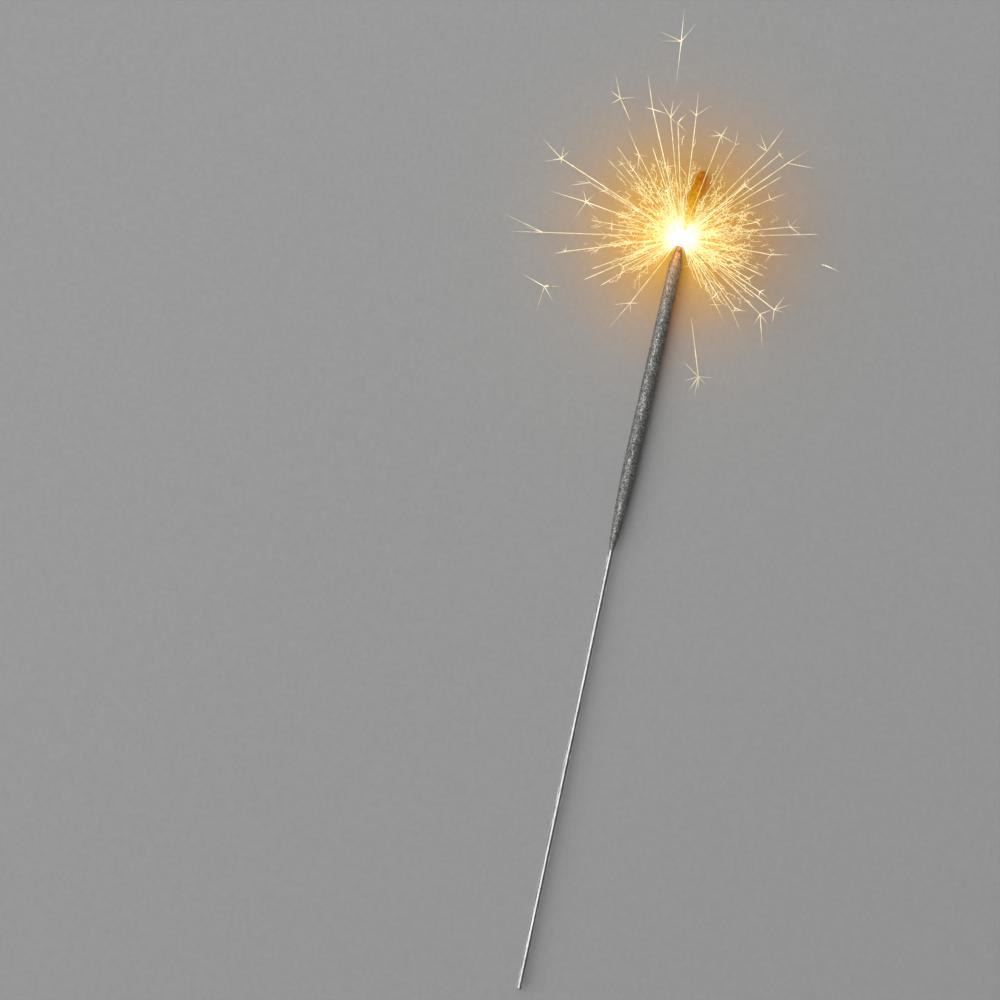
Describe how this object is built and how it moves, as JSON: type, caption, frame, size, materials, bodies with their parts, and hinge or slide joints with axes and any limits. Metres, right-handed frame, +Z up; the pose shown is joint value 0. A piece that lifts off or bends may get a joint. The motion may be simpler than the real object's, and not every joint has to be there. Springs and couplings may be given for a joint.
{
  "type": "sparkler",
  "caption": "Lit hand-held sparkler: straight bare wire handle, grey grainy dipped coat tapering onto the wire, white-hot burn front throwing forked sparks, dark spent tip.",
  "frame": {"origin": "centre of the wire's lower end, where the handle is held or stuck into something", "axes": "+Z runs up the straight bare handle towards the spent tip, -Y faces the viewer of the picture, +X is to the viewer's right"},
  "size_m": [0.1028, 0.0941, 0.3001],
  "materials": {
    "bright_wire": "bright drawn steel",
    "spark_composition": "matt, grainy, flecked with bright metal filings",
    "white_hot_composition": "glowing",
    "slag": "rough, porous, glowing faintly near the fire",
    "burning_iron": "glowing"
  },
  "bodies": {
    "root": {"core_wire": "bright_wire", "first_dip_coat": "spark_composition", "second_dip_coat": "spark_composition", "third_dip_coat": "spark_composition", "burn_front": "white_hot_composition", "spent_crust": "slag", "spark_streaks": "burning_iron", "spark_stars": "burning_iron", "spark_lace": "burning_iron"}
  },
  "joints": []
}
